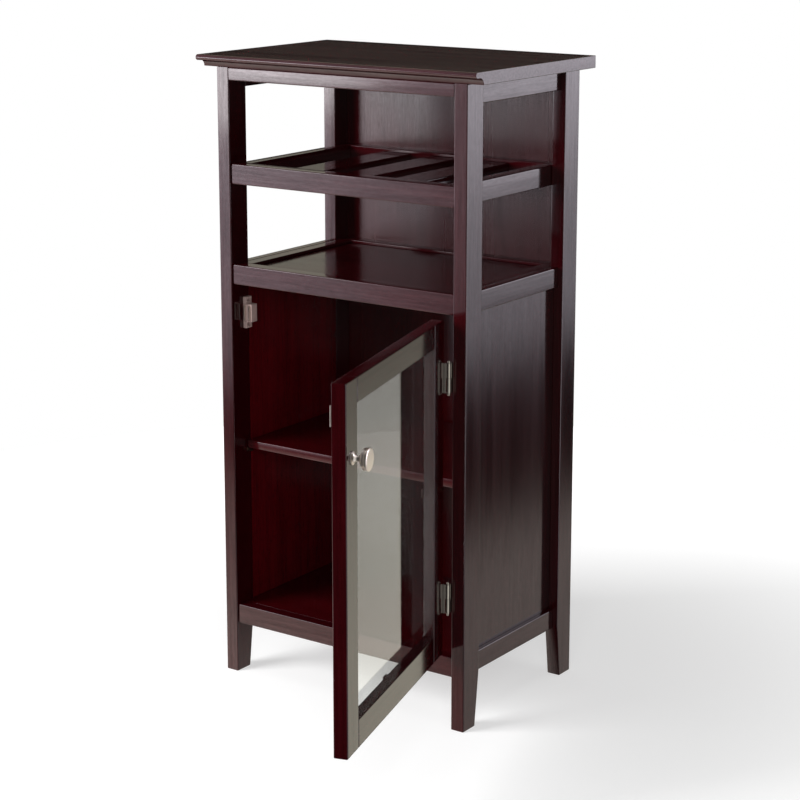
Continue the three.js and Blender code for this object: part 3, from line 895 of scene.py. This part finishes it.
class CABINET_OT_knob(bpy.types.Operator):
    """Turns the round knob and finishes the screw that holds it"""

    bl_idname = "cabinet.knob"
    bl_label = "Knob"

    def execute(self, context):
        fittings = context.scene.wine_cabinet.fittings
        low, high = shut_box("knob")
        profile = knob_profile(high.y - low.y, (high.x - low.x) / 2)
        knob = turned("turned_knob", profile, fittings.turned_sides)
        aim(knob, ((low.x + high.x) / 2, high.y, (low.z + high.z) / 2), -Y)
        smooth(swing_open(knob))
        hand_over(knob, "nickel", nickel(), BODY_OF["knob"], "knob")
        screw = whole_copy("knob_screw", "knob_fixing_screw")
        smooth(screw, angle=50)
        hand_over(screw, "nickel", nickel(), BODY_OF["knob_screw"], "knob_screw")
        return {"FINISHED"}


class CABINET_OT_hinges(bpy.types.Operator):
    """Finishes the leaves and pins of both hinges and adds their screws"""

    bl_idname = "cabinet.hinges"
    bl_label = "Hinges"

    def execute(self, context):
        fittings = context.scene.wine_cabinet.fittings
        plated = shared("dark_nickel", satin_metal, fittings.hinge_nickel, fittings.polish)
        for level in ("upper", "lower"):
            for part in ("post_leaf", "door_leaf", "pin"):
                plated_piece(f"hinge_{level}_{part}", fittings.hinge_edge, plated)
            self.add_leaf_screws(f"hinge_{level}_post_leaf", -X, plated)
            self.add_leaf_screws(f"hinge_{level}_door_leaf", X, plated)
        return {"FINISHED"}

    @staticmethod
    def add_leaf_screws(node, direction, metal):
        """Two flush screws on the face of a leaf that looks in this direction with the door shut."""
        fittings = bpy.context.scene.wine_cabinet.fittings
        low, high = shut_box(node)
        plate_start = HINGE_LINE.y + KNUCKLE_REACH
        plate = [point for point in shut_points(node) if point.y > plate_start]
        face = max(point.dot(direction) for point in plate) * direction.x
        across = (plate_start + high.y) / 2
        spread = LEAF_SCREW_SHARE * (high.z - low.z)
        places = [(face, across, (low.z + high.z) / 2 + end * spread) for end in (-1, 1)]
        add_screws(node, places, direction, fittings.screw_head, fittings.screw_rise, metal)


class CABINET_OT_shelf_pins(bpy.types.Operator):
    """Finishes the four pins that carry the shelf"""

    bl_idname = "cabinet.shelf_pins"
    bl_label = "Shelf Pins"

    def execute(self, context):
        fittings = context.scene.wine_cabinet.fittings
        bronze = shared("dark_bronze", satin_metal, fittings.bronze, fittings.satin)
        for node in sorted(frame["nodes"]):
            if node.startswith("shelf_pin_"):
                plated_piece(node, fittings.pin_edge, bronze)
        return {"FINISHED"}


class CABINET_OT_catch(bpy.types.Operator):
    """Finishes the magnetic catch and its strike plate"""

    bl_idname = "cabinet.catch"
    bl_label = "Door Catch"

    def execute(self, context):
        fittings = context.scene.wine_cabinet.fittings
        for node in ("catch_pole_left", "catch_pole_right", "strike_plate"):
            plated_piece(node, fittings.metal_edge, nickel())
        plastic = shared("pale_plastic", moulded_plastic, fittings.plastic)
        for node in ("catch_bracket", "catch_case"):
            moulded_piece(node, 0, plastic)

        low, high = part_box("catch_bracket")
        case_low, case_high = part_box("catch_case")
        across = (low.y + high.y) / 2
        heights = ((low.z + case_low.z) / 2, (high.z + case_high.z) / 2)
        places = [(low.x, across, height) for height in heights]
        head = CATCH_HEAD * fittings.screw_head
        add_screws("catch_bracket", places, X, head, CATCH_RISE, nickel())

        low, high = shut_box("strike_plate")
        across, middle = (low.x + high.x) / 2, (low.z + high.z) / 2
        spread = STRIKE_SCREW_SHARE * (high.z - low.z)
        places = [(across, high.y, middle + end * spread) for end in (-1, 1)]
        head = STRIKE_HEAD * fittings.screw_head
        rise = STRIKE_RISE_SHARE * fittings.screw_rise
        add_screws("strike_plate", places, Y, head, rise, nickel())
        return {"FINISHED"}


class CABINET_OT_clips(bpy.types.Operator):
    """Finishes the four clips that hold the glass"""

    bl_idname = "cabinet.clips"
    bl_label = "Glass Clips"

    def execute(self, context):
        fittings = context.scene.wine_cabinet.fittings
        plastic = shared("dark_plastic", moulded_plastic, fittings.clip_plastic)
        head = CLIP_HEAD * fittings.screw_head
        for side, foot in CLIP_FEET.items():
            node = f"glass_clip_{side}"
            moulded_piece(node, fittings.clip_edge, plastic)
            low, high = shut_box(node)
            middle = (low + high) / 2
            place = middle + foot * (abs((high - middle).dot(foot)) - CLIP_SCREW_INSET * head)
            place.y = high.y
            add_screws(node, [place], Y, head, CLIP_RISE, nickel())
        return {"FINISHED"}


# Studio

# The floor sheet: the grey that the lamps light, how bright it glows under the cabinet where white
# is one, how far from the middle the glow starts to rise, and the share of its radius where it is full
SHEET_GREY = (0.55, 0.55, 0.55, 1)
LEAST_GLOW = 0.55
GLOW_FROM, GLOW_FULL_SHARE = 0.35, 0.9
SHEET_SIDES = 128


def light_path(tree):
    """The kinds of ray that a shader can tell apart."""
    return add_node(tree, "ShaderNodeLightPath").outputs


def seen_rays(tree, path):
    """One for what the camera sees, straight or through the glass, and nothing for other rays."""
    return maths(tree, "ADD", path["Is Camera Ray"], path["Is Transmission Ray"])


def floor_material():
    """A white sheet that keeps the cabinet's shadow and shows white to the camera and through glass."""
    material, tree = new_material("white_sheet")
    seen = seen_rays(tree, light_path(tree))
    sheet = add_node(tree, "ShaderNodeBsdfDiffuse", {"Color": SHEET_GREY})
    away = add_node(
        tree, "ShaderNodeVectorMath", {0: object_point(tree), 1: MIDDLE}, operation="DISTANCE"
    ).outputs["Value"]
    glow_full = GLOW_FULL_SHARE * bpy.context.scene.wine_cabinet.studio.sheet
    strength = remap(tree, away, (GLOW_FROM, glow_full), (LEAST_GLOW, 1), smoothly=True)
    glow = add_node(tree, "ShaderNodeEmission", {"Strength": maths(tree, "MULTIPLY", seen, strength)})
    both = add_node(tree, "ShaderNodeAddShader", {0: sheet.outputs[0], 1: glow.outputs[0]})
    output(tree, both.outputs[0])
    return material


# The heights over the horizon, in degrees, that a table of brightness covers
PROFILE_SPAN = (-26.0, 26.0)


def height_profile(tree, rise, stops):
    """Brightness by the height of a direction over the horizon, from pairs of degrees and level."""
    low, high = PROFILE_SPAN
    peak = max(level for angle, level in stops)
    value = remap(tree, rise, (math.radians(low), math.radians(high)), (0, 1))
    places = [((angle - low) / (high - low), (level / peak,) * 3) for angle, level in stops]
    return maths(tree, "MULTIPLY", ramp(tree, value, places), peak)


def towards(azimuth):
    """A level direction, by its azimuth in degrees round from the back to the right."""
    angle = math.radians(azimuth)
    return (math.sin(angle), math.cos(angle), 0)


def agreement(tree, direction, other):
    """How far a direction agrees with another, from minus one to one."""
    node = add_node(
        tree, "ShaderNodeVectorMath", {0: direction, 1: other}, operation="DOT_PRODUCT"
    )
    return node.outputs["Value"]


def window(tree, level, azimuth, inner, outer):
    """One towards an azimuth, falling to nothing further round."""
    span = (math.cos(math.radians(outer)), math.cos(math.radians(inner)))
    near = agreement(tree, level, towards(azimuth))
    return remap(tree, near, span, (0, 1), smoothly=True)


# What the lacquer, metal and glass mirror: for each part of the room the azimuth of its middle, how
# far round it is even and how far it reaches, its lean, its tint and its brightness by height, with
# azimuths and heights in degrees
LILAC = (1, 0.94, 1.04)
WARM = (1.03, 0.89, 0.83)
BEIGE = (1.03, 0.97, 0.8)
FRONT_LEFT = (
    (-14.4, 0), (-13.6, 1.3), (-12, 2), (-9.5, 2.4), (-8.3, 3.4), (-7.2, 3), (-5.6, 3), (-4.6, 6),
    (4, 6), (8, 0.8), (26, 0.8),
)
LOW_FRONT_LEFT = ((-24, 1.6), (-20, 1.9), (-18.7, 1), (-17.3, 1.2), (-16.5, 0.8), (-15.8, 0))
RIGHT = (
    (-13.9, 0), (-13.4, 1), (-12.5, 1.35), (-10.4, 1.5), (-9.3, 1.8), (-8.2, 2.5), (-6.5, 3.5),
    (20, 3.5),
)
LOW_RIGHT = ((-22, 0.7), (-18.9, 0.9), (-18, 0.5), (-17.5, 0))
BEHIND = ((-21, 1), (-17.7, 0.87), (-16.5, 0.75), (-14.5, 0.47), (-8, 0.3), (0, 0.1))
ABOVE = ((7.5, 0), (8.5, 0.42), (26, 0.42))
BESIDE_CAMERA = ((-26, 0.9), (26, 0.9))
SURROUNDINGS = (
    (245, 24, 36, 0, LILAC, FRONT_LEFT),
    (245, 24, 36, 0, WARM, LOW_FRONT_LEFT),
    (45, 16, 26, 0.37, LILAC, RIGHT),
    (45, 16, 26, 0.37, WARM, LOW_RIGHT),
    (2, 8, 18, 0, BEIGE, BEHIND),
    (325, 25, 45, 0, BEIGE, ABOVE),
    (115, 28, 48, 0, WHITE, BESIDE_CAMERA),
)

# The azimuth in degrees where the heights of a leaning part are as written. Further round to the
# right it stands lower
LEAN_FROM = 33

# What every mirror shows where no lit part of the room is, and the light of the room on the wood
DARK_ROOM = (0.01, 0.01, 0.01)
ROOM_LIGHT = 0.06


def mirrored_room(tree):
    """What the lacquer, metal and glass mirror, by the direction in which they look."""
    direction = add_node(tree, "ShaderNodeTexCoord").outputs["Generated"]
    sine = add_node(tree, "ShaderNodeSeparateXYZ", {0: direction}).outputs["Z"]
    rise = maths(tree, "ARCSINE", sine)
    flat = scaled(tree, direction, (1, 1, 0))
    level = add_node(tree, "ShaderNodeVectorMath", {0: flat}, operation="NORMALIZE").outputs[0]
    aside = agreement(tree, level, towards(LEAN_FROM + 90))
    room = DARK_ROOM
    for azimuth, inner, outer, lean, colour, stops in SURROUNDINGS:
        height = maths(tree, "ADD", rise, maths(tree, "MULTIPLY", aside, lean))
        shine = height_profile(tree, height, stops)
        shine = maths(tree, "MULTIPLY", shine, window(tree, level, azimuth, inner, outer))
        inputs = {0: tint(tree, colour, shine), 1: room}
        room = add_node(tree, "ShaderNodeVectorMath", inputs, operation="ADD").outputs[0]
    return room


def build_world():
    """A white room to the camera and through glass, a dark one with lit parts to what mirrors it."""
    world = bpy.data.worlds.new("studio_room")
    bpy.context.scene.world = world
    world.use_nodes = True
    world.cycles.sampling_method = "NONE"
    tree = world.node_tree
    tree.nodes.clear()
    path = light_path(tree)
    room = remap(tree, seen_rays(tree, path), (0, 1), (ROOM_LIGHT, 1))
    not_through = maths(tree, "SUBTRACT", 1, path["Is Transmission Ray"])
    mirrored = maths(tree, "MULTIPLY", path["Is Glossy Ray"], not_through)
    inputs = {"Factor": mirrored, "A": room, "B": mirrored_room(tree)}
    light = add_node(tree, "ShaderNodeMix", inputs, data_type="VECTOR").outputs[1]
    background = add_node(tree, "ShaderNodeBackground", {"Color": light}).outputs[0]
    add_node(tree, "ShaderNodeOutputWorld", {"Surface": background})


# The lamps: where each stands, its width and height, and the height that it is aimed at. The one
# that only shows in the gloss is aimed level
WAIST = 0.5
LOW_LAMP = 0.78
LAMPS = {
    "key": (Vector((-1.6, -2.3, 1.6)), (1.6, 1.6), WAIST),
    "fill": (Vector((2.1, -2.7, 1.5)), (1.4, 1.4), WAIST),
    "overhead": (MIDDLE + Z * 2.8, (2, 2), WAIST),
    "mirrored": (Vector((-2.42, -2.37, LOW_LAMP)), (1.6, 0.7), LOW_LAMP),
}


def add_lamp(kind, power):
    """A soft lamp that either lights the wood or only shows in its gloss."""
    place, size, height = LAMPS[kind]
    name = f"{kind}_lamp"
    data = bpy.data.lights.new(name, "AREA")
    data.shape = "RECTANGLE"
    data.size, data.size_y = size
    data.energy = power
    lamp = bpy.data.objects.new(name, data)
    bpy.context.scene.collection.objects.link(lamp)
    lamp.location = place
    lamp.rotation_mode = "QUATERNION"
    lamp.rotation_quaternion = (MIDDLE + Z * height - place).to_track_quat("-Z", "Y")
    lamp.visible_glossy = kind == "mirrored"
    lamp.visible_diffuse = kind != "mirrored"
    lamp.visible_transmission = False


# Width of the camera's sensor in millimetres
SENSOR_WIDTH = 36


def build_camera(studio):
    """The camera at the viewing angle of the picture."""
    data = bpy.data.cameras.new("camera")
    data.lens = studio.lens
    data.sensor_width = SENSOR_WIDTH
    data.shift_y = studio.shift
    camera = bpy.data.objects.new("camera", data)
    bpy.context.scene.collection.objects.link(camera)
    around, above = studio.azimuth, studio.elevation
    back = Vector(
        (math.sin(around) * math.cos(above), -math.cos(around) * math.cos(above), math.sin(above))
    )
    right = Vector((math.cos(around), math.sin(around), 0))
    up = back.cross(right)
    target = MIDDLE + Z * HEIGHT / 2
    camera.location = target + back * studio.distance + right * studio.aside + up * studio.above
    camera.rotation_mode = "QUATERNION"
    camera.rotation_quaternion = (-back).to_track_quat("-Z", "Y")
    bpy.context.scene.camera = camera


class CABINET_OT_studio(bpy.types.Operator):
    """Sets up the white sheet, the soft lamps, the room and the camera"""

    bl_idname = "cabinet.studio"
    bl_label = "Studio"

    def execute(self, context):
        studio = context.scene.wine_cabinet.studio
        context.scene.view_settings.view_transform = "Standard"
        bpy.ops.object.select_all(action="DESELECT")
        bpy.ops.mesh.primitive_circle_add(
            vertices=SHEET_SIDES, radius=studio.sheet, fill_type="NGON", location=MIDDLE
        )
        sheet = bpy.context.object
        sheet.name = "floor_sheet"
        settle(sheet)
        sheet.data.materials.append(floor_material())
        sheet.visible_glossy = False
        for kind in LAMPS:
            add_lamp(kind, getattr(studio, kind))
        build_world()
        build_camera(studio)
        return {"FINISHED"}


class CABINET_PT_pieces(bpy.types.Panel):
    """Lists the steps that finish the cabinet, and its settings"""

    bl_label = "Wine Cabinet"
    bl_idname = "CABINET_PT_pieces"
    bl_space_type = "VIEW_3D"
    bl_region_type = "UI"
    bl_category = "Cabinet"

    def draw(self, context):
        column = self.layout.column(align=True)
        for step in STEPS:
            column.operator(step.bl_idname)
        for group in ("wood", "fittings", "studio"):
            settings = getattr(context.scene.wine_cabinet, group)
            box = self.layout.box()
            for name in settings.__annotations__:
                box.prop(settings, name)


STEPS = (
    CABINET_OT_studio,
    CABINET_OT_carcase,
    CABINET_OT_interior,
    CABINET_OT_glass,
    CABINET_OT_knob,
    CABINET_OT_hinges,
    CABINET_OT_shelf_pins,
    CABINET_OT_catch,
    CABINET_OT_clips,
)

CLASSES = (
    WoodSettings,
    FittingSettings,
    StudioSettings,
    CabinetSettings,
    *STEPS,
    CABINET_PT_pieces,
)


def register():
    """Registers the classes and the settings."""
    for entry in CLASSES:
        bpy.utils.register_class(entry)
    bpy.types.Scene.wine_cabinet = PointerProperty(
        type=CabinetSettings, name="Wine cabinet", description="Settings of the wine cabinet"
    )


def unregister():
    """Takes the settings and the classes out again."""
    del bpy.types.Scene.wine_cabinet
    for entry in reversed(CLASSES):
        bpy.utils.unregister_class(entry)


def main():
    """Finishes the cabinet step by step."""
    register()
    for step in STEPS:
        group, name = step.bl_idname.split(".")
        getattr(getattr(bpy.ops, group), name)()


if __name__ == "__main__":
    main()
